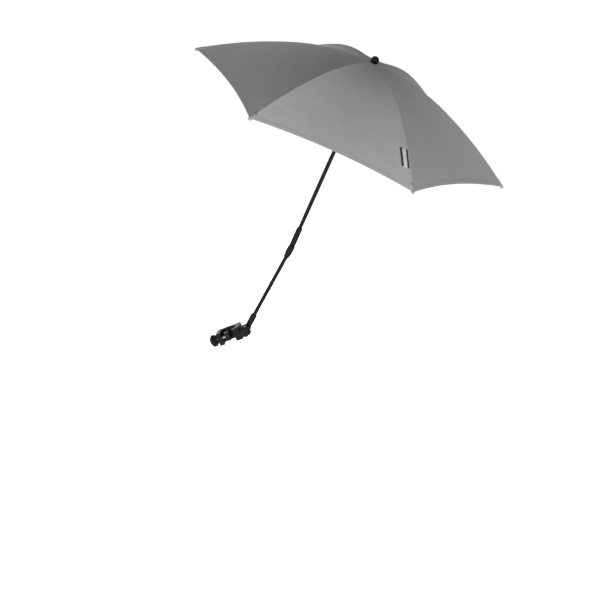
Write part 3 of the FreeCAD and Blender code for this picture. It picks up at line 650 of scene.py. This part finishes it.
def crownLining(k):
    points, weave, faces = [], [], []
    rows, columns = lining["rows"], lining["columns"]
    for side in (-1, 1):
        faces += slabFaces(rows, columns, len(points), side < 0)
        low = cloth["standOff"] - lining["under"] * (1 if side < 0 else 2)
        for height in (low + lining["thickness"], low):
            for row in range(rows + 1):
                along = topLength + (lining["end"] - topLength) * row / rows
                reach = ribLine(along, 0)[0]
                near, far = lining["start"] / reach, liningEnd(reach)
                for column in range(columns + 1):
                    across = near + (far - near) * column / columns
                    points.append(clothSpot(k, side, across, along, height))
                    weave.append(weaveAt(k, side, across, along, reach))
    return canvasPiece(f"crown_lining_{k}", k, points, faces, weave, [farFromSeams] * len(points))


# sewing: each stitch is a small bead half sunk in the cloth

stitch = {
    "length": 0.0024,
    "pitch": 0.0034,
    "radius": 0.00028,
    "rings": ((-0.5, 0.35), (-0.32, 1.0), (0.32, 1.0), (0.5, 0.35)),  # shares of the length and the radius
    "sides": 5,
    "seamRow": 0.0024,  # from the rib's middle
    "seamStart": 0.020,  # along the rib
    "seamStop": 0.004,  # short of the hem
    "hemRow": 0.0075,
    "probe": 0.001,  # a step off the cloth shows its outward way
}


def addStitch(points, faces, middle, along, normal):
    across = normal.cross(along).normalized()
    first = len(points)
    count, rings = stitch["sides"], stitch["rings"]
    for share, swell in rings:
        for turn in range(count):
            angle = 2 * math.pi * turn / count
            radius = stitch["radius"] * swell
            lift = normal * (math.sin(angle) * radius) + across * (math.cos(angle) * radius)
            points.append(middle + along * (share * stitch["length"]) + lift)
    for ring in range(len(rings) - 1):
        low = first + ring * count
        for turn in range(count):
            after = (turn + 1) % count
            faces.append([low + turn, low + after, low + count + after, low + count + turn])
    faces.append([first + t for t in reversed(range(count))])
    last = first + (len(rings) - 1) * count
    faces.append([last + t for t in range(count)])


def sewnLine(k, points, faces, spots):  # spots are (side, across, along, height) in sewing order
    path = [clothSpot(k, *spot) for spot in spots]
    for number, (side, across, along, height) in enumerate(spots[:-1]):
        normal = (clothSpot(k, side, across, along, height + stitch["probe"]) - path[number]).normalized()
        way = (path[number + 1] - path[number]).normalized()
        addStitch(points, faces, path[number], way, normal)


def clothStitches(k):
    points, faces = [], []
    outside = cloth["standOff"] + cloth["thickness"]
    count = int((ribLength - stitch["seamStart"] - stitch["seamStop"]) / stitch["pitch"])
    for side in (-1, 1):
        spots = []
        for n in range(count):
            along = stitch["seamStart"] + n * stitch["pitch"]
            across = stitch["seamRow"] / ribLine(along, 0)[0]
            spots.append((side, across, along, outside + cloth["seamRise"]))
        sewnLine(k, points, faces, spots)
        run = cloth["tip"] / 2
        spots = []
        for n in range(int(run / stitch["pitch"])):
            across = midGore * (n + 0.5) * stitch["pitch"] / run
            spots.append((side, across, hemAt(across) - stitch["hemRow"], outside + cloth["hemRise"]))
        sewnLine(k, points, faces, spots)
    return newPiece(f"canopy_stitches_{k}", points, faces, threadFinish, f"rib_arm_{k}")


# corner pockets that hold the rib tips, and thread ties round the ribs

pocket = {
    "length": 0.020,
    "past": 0.0028,  # beyond the cloth's corner
    "mouth": 0.0058,  # half widths
    "nose": 0.0038,
    "top": 0.0042,
    "bottom": -0.0030,
    "straight": 0.86,  # share of the length before the round nose
    "point": 0.0004,  # the nose ends in a small flat
    "flare": 0.15,  # share of the length by the mouth
    "tuck": 0.0004,  # how much flatter it lies there
    "square": 0.8,  # 1 would be an ellipse
    "rings": 22,
    "sides": 24,
}


def ringFaces(rings, sides):  # a closed skin over rings of points
    faces = []
    for ring in range(rings - 1):
        for turn in range(sides):
            after = (turn + 1) % sides
            low, high = ring * sides, (ring + 1) * sides
            faces.append([low + turn, low + after, high + after, high + turn])
    faces.append(list(reversed(range(sides))))
    faces.append([(rings - 1) * sides + turn for turn in range(sides)])
    return faces


def ribSpot(k, along, sideStep, height):
    out, sideways = ribAxes(k)
    reach, level = ribLine(along, height)[:2]
    return crown + out * reach + sideways * sideStep + crownUp * level


def cornerPocket(k):
    points, weave = [], []
    middle = (pocket["top"] + pocket["bottom"]) / 2
    tall = (pocket["top"] - pocket["bottom"]) / 2
    whole = pocket["length"] + pocket["past"]
    for ring in range(pocket["rings"]):
        share = math.sin(ring / (pocket["rings"] - 1) * math.pi / 2)  # closer rings round the nose
        along = ribLength - pocket["length"] + whole * share
        blunt = max(0.0, (share - pocket["straight"]) / (1 - pocket["straight"]))
        swell = math.sqrt(max(1 - blunt ** 2, pocket["point"]))
        half = pocket["mouth"] + (pocket["nose"] - pocket["mouth"]) * math.sin(share * math.pi / 2)
        lift = (min(share / pocket["flare"], 1) - 1) * pocket["tuck"]  # the mouth lies flat on the cloth
        for turn in range(pocket["sides"]):
            angle = 2 * math.pi * turn / pocket["sides"]
            flat, rise = math.cos(angle), math.sin(angle)
            sideStep = math.copysign(abs(flat) ** pocket["square"], flat) * half * swell
            height = middle + math.copysign(abs(rise) ** pocket["square"], rise) * (tall + lift) * swell
            points.append(ribSpot(k, along, sideStep, height))
            yarns = angle * pocket["nose"] + k * cloth["goreShift"]
            weave.append((yarns, whole * share))  # near 0, so the patch keeps the crown's darker tone, without the painted light of the hem
    faces = ringFaces(pocket["rings"], pocket["sides"])
    return canvasPiece(f"canopy_pocket_{k}", k, points, faces, weave, [(0, 0)] * len(points))  # all by a seam


tie = {
    "places": (0.066, 0.195, 0.262, 0.330),
    "wraps": 3,
    "pitch": 0.0007,
    "slant": 0.5,  # of the pitch
    "thread": 0.00034,
    "half": 0.0019,
    "low": -0.0019,
    "high": 0.0029,
    "points": 22,
    "sides": 6,
}


def ribTies(k):
    points, faces = [], []
    middle, tall = (tie["high"] + tie["low"]) / 2, (tie["high"] - tie["low"]) / 2
    for start in tie["places"]:
        for wrap in range(tie["wraps"]):
            first = len(points)
            for step in range(tie["points"]):
                angle = 2 * math.pi * step / tie["points"]
                for turn in range(tie["sides"]):
                    bend = 2 * math.pi * turn / tie["sides"]
                    wide = math.cos(bend) * tie["thread"]
                    along = start + (wrap + tie["slant"] * math.sin(angle)) * tie["pitch"]
                    along += math.sin(bend) * tie["thread"]
                    sideStep = math.cos(angle) * (tie["half"] + wide)
                    points.append(ribSpot(k, along, sideStep, middle + math.sin(angle) * (tall + wide)))
            for step in range(tie["points"]):
                after = (step + 1) % tie["points"]
                for turn in range(tie["sides"]):
                    beside = (turn + 1) % tie["sides"]
                    low, high = first + step * tie["sides"], first + after * tie["sides"]
                    faces.append([low + turn, low + beside, high + beside, high + turn])
    return newPiece(f"rib_ties_{k}", points, faces, threadFinish, f"rib_arm_{k}")


# bare woven tab sewn beside the seam at the near right corner

tab = {
    "rib": 5,
    "side": -1,
    "near": 0.0008,  # its edge is caught in the seam
    "far": 0.0186,
    "lean": 0.0024,  # further from the seam at the lower end
    "start": 0.289,
    "end": 0.338,
    "thickness": 0.0007,
    "rim": 0.25,  # share of it left at the edge
    "sunk": 0.0002,
    "round": 0.0012,
    "stripe": 0.0039,  # half of the pale middle stripe
    "edge": 0.00025,  # how softly the stripe ends
    "dark": (0.005, 0.005, 0.0055),
    "darkGlint": 2.6,
    "pale": (0.62, 0.62, 0.61),
    "paleShadow": 0.82,
    "satin": 0.00045,
    "wisp": (3000, 200, 1),
    "wispNoise": (1.0, 2.0),
    "darkTint": {"satin": 0.6, "wisp": 0.5},
    "paleTint": {"satin": 0.5, "wisp": 0.5},
    "height": {"satin": 0.7, "wisp": 0.5},
    "roughness": {"base": 0.62, "satin": 0.14},
    "shine": 0.3,
    "relief": 0.0001,
    "strength": 0.6,
    "columns": 18,
    "rows": 44,
    "margin": 0.0017,  # the stitches stay this far in
    "fewest": 3,  # stitches on a side
}


def tabWeave():
    made = Finish("woven_tab")
    weave = made.node("UVMap", {"uv_map": "weave"}, {})
    across, along = weave.part(0), weave.part(1)
    middle = (tab["near"] + tab["far"]) / 2
    left = across.band(middle - tab["stripe"] - tab["edge"], middle - tab["stripe"])
    right = across.band(middle + tab["stripe"], middle + tab["stripe"] + tab["edge"])
    stripe = left * (1 - right)
    turns = 2 * math.pi / tab["satin"]
    satin = (along * turns).sine() * 0.5 + 0.5
    wisp = made.grain(weave.stretch(*tab["wisp"]), *tab["wispNoise"])

    def yarns(weights):
        return satin * weights["satin"] + wisp * weights["wisp"]

    glint = [c * tab["darkGlint"] for c in tab["dark"]]
    shadow = [c * tab["paleShadow"] for c in tab["pale"]]
    dark = made.shade(yarns(tab["darkTint"]), tab["dark"], glint)
    pale = made.shade(yarns(tab["paleTint"]), shadow, tab["pale"])
    return made.surface({
        "Base Color": made.blended(stripe, dark, pale),
        "Roughness": tab["roughness"]["base"] - satin * tab["roughness"]["satin"],
        "Specular IOR Level": tab["shine"],
        "Normal": made.bump(yarns(tab["height"]), tab["relief"], tab["strength"]),
    })


def tabPlace(share, climb):  # distance from the seam and along it
    along = tab["start"] + (tab["end"] - tab["start"]) * climb
    return tab["near"] + (tab["far"] - tab["near"]) * share, along


def tabSpot(share, climb, height):  # as sewnLine takes it
    away, along = tabPlace(share, climb)
    return tab["side"], (away + tab["lean"] * climb) / ribLine(along, 0)[0], along, height


def sewnTab():
    points, weave = [], []
    columns, rows, rim = tab["columns"], tab["rows"], tab["rim"]
    wide, tall = tab["far"] - tab["near"], tab["end"] - tab["start"]
    base = cloth["standOff"] + cloth["thickness"]
    for outer in (True, False):
        for r in range(rows + 1):
            for c in range(columns + 1):
                share, climb = c / columns, r / rows
                inset = min(share * wide, (1 - share) * wide, climb * tall, (1 - climb) * tall)
                bulge = math.sqrt(max(0, 1 - (1 - min(inset / tab["round"], 1)) ** 2))
                height = base + tab["thickness"] * (rim + (1 - rim) * bulge) if outer else base - tab["sunk"]
                points.append(clothSpot(tab["rib"], *tabSpot(share, climb, height)))
                weave.append(tabPlace(share, climb))
    faces = slabFaces(rows, columns)
    body = f"rib_arm_{tab['rib']}"
    return newPiece("sewn_tab", points, faces, tabWeave(), body, {"weave": weave})


def tabStitches():
    points, faces = [], []
    wide, tall = tab["far"] - tab["near"], tab["end"] - tab["start"]
    low, high = tab["margin"] / wide, 1 - tab["margin"] / wide
    first, last = tab["margin"] / tall, 1 - tab["margin"] / tall
    corners = [(low, first), (high, first), (high, last), (low, last)]
    height = cloth["standOff"] + cloth["thickness"] + tab["thickness"]
    for (a, b), (c, d) in zip(corners, corners[1:] + corners[:1]):
        length = math.hypot((c - a) * wide, (d - b) * tall)
        count = max(tab["fewest"], round(length / stitch["pitch"]))
        spots = []
        for n in range(count + 1):
            spots.append(tabSpot(a + (c - a) * n / count, b + (d - b) * n / count, height))
        sewnLine(tab["rib"], points, faces, spots)
    body, dark = f"rib_arm_{tab['rib']}", sewingThread("black_thread")
    return newPiece("sewn_tab_stitches", points, faces, dark, body)


goreRim = cloth["tip"] * 2 * math.sin(goreHalf)
goreArea = goreRim * math.sqrt(ribLength ** 2 - (goreRim / 2) ** 2) / 2 - goreRim * cloth["scallop"] * 2 / 3
for k in range(1, ribCount + 1):
    sector = clothSector(k)
    flat = [clothStitches(k)] + ([sewnTab(), tabStitches()] if k == tab["rib"] else [])
    for soft in [sector] + flat:
        ribAxes(k)[1]
        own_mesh(soft)
    inner = crownLining(k)
    ribAxes(k)[1]
    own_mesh(inner)
    sewnOn = flat + [inner, cornerPocket(k), ribTies(k)]
clothTop()
print("canopy cloth:", ribCount, "sectors of", round(goreArea, 4), "square metres")


# clamp screw: a cut thread between its seat in the shoe and the knob

screw = {
    "start": 0.01506,
    "end": 0.0506,
    "crest": 0.0030,
    "root": 0.00255,
    "pitch": 0.0015,
    "plain": 0.0045,  # the end that turns in the shoe
    "peak": 1.6,  # a ridge, cut flat at 1
    "flank": 5.2,
    "chamfer": 0.86,  # of the radius, at both ends
    "sides": 28,
    "perTurn": 10,
}


def clampScrew():
    joint = joints["screw_turn"]
    axis = Vector(joint["axis"]).normalized()
    towards = sum((Vector(c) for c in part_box("clamp_spindle")), Vector()) / 2 - Vector(joint["pos_m"])
    axis = axis if axis.dot(towards) > 0 else -axis
    sideways = Vector((0, 1, 0))
    upwards = axis.cross(sideways)
    count = int((screw["end"] - screw["start"]) / screw["pitch"] * screw["perTurn"])
    points = []
    for ring in range(count + 1):
        along = screw["start"] + (screw["end"] - screw["start"]) * ring / count
        inside = along - screw["start"] - screw["plain"]
        depth = min(max(inside / screw["pitch"], 0), 1)  # the thread runs out into the plain end
        for turn in range(screw["sides"]):
            share = turn / screw["sides"]
            phase = (along / screw["pitch"] - share) % 1
            ridge = min(max(screw["peak"] - abs(phase - 0.5) * screw["flank"], 0), 1)
            radius = screw["root"] + (screw["crest"] - screw["root"]) * ridge * depth
            if ring in (0, count):
                radius *= screw["chamfer"]
            angle = 2 * math.pi * share
            lift = sideways * (math.cos(angle) * radius) + upwards * (math.sin(angle) * radius)
            points.append(Vector(joint["pos_m"]) + axis * along + lift)
    faces = ringFaces(count + 1, screw["sides"])
    finish = finishes["bright_steel"]
    piece = newPiece("clamp_screw_thread", points, faces, finish, "clamp_screw")
    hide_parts("clamp_spindle")


# cone spring under the tilt button, built at its rest height on the lower pole; it doesn't go flat as the button
# is pushed in

spring = {
    "joint": "tilt_press",
    "outer": 0.0039,
    "inner": 0.00246,
    "thickness": 0.0004,
    "left": 0.32,  # of its height, pushed flat
    "sides": 48,
}


def coneSpring():
    low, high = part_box("tilt_spring")
    inward = Vector(joints[spring["joint"]]["axis"]).normalized()
    height = abs((high - low).dot(inward))
    base = (low + high) / 2 + inward * (height / 2)
    sideways = inward.orthogonal().normalized()
    upwards = inward.cross(sideways)
    profile = [
        (spring["outer"], 0.0),
        (spring["outer"], spring["thickness"]),
        (spring["inner"], height),
        (spring["inner"], height - spring["thickness"]),
    ]
    points, faces, corners = [], [], len(profile)
    for turn in range(spring["sides"]):
        angle = 2 * math.pi * turn / spring["sides"]
        spoke = sideways * math.cos(angle) + upwards * math.sin(angle)
        points += [base - inward * level + spoke * radius for radius, level in profile]
        here, after = turn * corners, (turn + 1) % spring["sides"] * corners
        for corner in range(corners):
            beside = (corner + 1) % corners
            faces.append([here + corner, here + beside, after + beside, after + corner])
    finish = finishes["bright_steel"]
    piece = newPiece("tilt_cone_spring", points, faces, finish, "lower_pole")
    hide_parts("tilt_spring")
    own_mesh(piece)


clampScrew()
coneSpring()
print("clamp screw cut, cone spring set")


# floor, light and camera

floor = {"level": -0.6, "half": 40.0, "white": (0.9, 0.9, 0.9), "glow": 0.78}


def seenShare(made):  # 1 for what the camera, a gloss or glass sees
    kinds = ("Is Camera Ray", "Is Glossy Ray", "Is Transmission Ray")
    camera, gloss, glass = [made.node("LightPath", {}, {}, kind) for kind in kinds]
    return camera.larger(gloss).larger(glass)


def paleFloor():
    made = Finish("pale_floor")
    matte = made.node("BsdfDiffuse", {}, {"Color": (*floor["white"], 1)})
    glow = made.shade(seenShare(made), (0, 0, 0), [floor["glow"]] * 3)
    lit = made.node("Emission", {}, {"Color": glow, "Strength": 1.0})
    face = made.node("AddShader", {}, {0: matte, 1: lit})
    made.node("OutputMaterial", {}, {"Surface": face})
    return made.material


def floorSheet():
    half, level = floor["half"], floor["level"]
    corners = [(-half, -half, level), (half, -half, level), (half, half, level), (-half, half, level)]
    mesh = bpy.data.meshes.new("floor")
    mesh.from_pydata(corners, [], [(0, 1, 2, 3)])
    mesh.materials.append(paleFloor())
    sheet = bpy.data.objects.new("floor", mesh)
    scene.collection.objects.link(sheet)


light = {
    "fill": 0.33,
    "zenith": 0.85,  # share of the fill left straight overhead
    "aim": (0.3, 0.0, 0.5),
    "front": {"from": (0.35, -3.0, 0.30), "watts": 128.0, "size": (5.4, 1.0)},
    "rear": {"from": (-0.3, 3.0, 0.60), "watts": 56.0, "size": (2.4, 1.2)},
}


def softbox(name):
    row = light[name]
    lamp = bpy.data.lights.new(name, "AREA")
    lamp.shape = "RECTANGLE"
    lamp.size, lamp.size_y = row["size"]
    lamp.energy = row["watts"]
    box = bpy.data.objects.new(name, lamp)
    box.location = row["from"]
    box.rotation_euler = (Vector(row["from"]) - Vector(light["aim"])).to_track_quat("Z", "Y").to_euler()
    box.visible_camera = False
    scene.collection.objects.link(box)


def studioLight():
    world = bpy.data.worlds.new("studio")
    world.use_nodes = True
    made = Finish("studio_world_wiring")
    bpy.data.materials.remove(made.material)
    made.tree = world.node_tree
    made.tree.nodes.clear()
    rise = made.node("TexCoord", {}, {}, "Generated").part(2)
    sky = made.shade(rise.band(0, 1), (1, 1, 1), [light["zenith"]] * 3)
    dim = made.node("Background", {}, {"Color": sky, "Strength": light["fill"]})
    white = made.node("Background", {}, {"Color": (1, 1, 1, 1), "Strength": 1.0})
    both = made.node("MixShader", {}, {0: seenShare(made), 1: dim, 2: white})
    made.node("OutputWorld", {}, {"Surface": both})
    scene.world = world
    softbox("front")
    softbox("rear")


shot = {
    "azimuth": 7.83,
    "elevation": 18.92,
    "distance": 4.853,
    "target": (0.1536, 0.0, 0.0883),
    "lens": 128.19,
    "sensor": 36,
    "far": 200,
}


def shotCamera():
    data = bpy.data.cameras.new("camera")
    data.lens = shot["lens"]
    data.sensor_width = shot["sensor"]
    data.clip_end = shot["far"]
    camera = bpy.data.objects.new("camera", data)
    turn, rise = math.radians(shot["azimuth"]), math.radians(shot["elevation"])
    back = Vector((math.sin(turn) * math.cos(rise), -math.cos(turn) * math.cos(rise), math.sin(rise)))
    camera.location = Vector(shot["target"]) + back * shot["distance"]
    camera.rotation_euler = back.to_track_quat("Z", "Y").to_euler()
    scene.collection.objects.link(camera)
    scene.camera = camera


floorSheet()
studioLight()
shotCamera()
scene.view_settings.view_transform = "Standard"
print("floor, light and camera set")
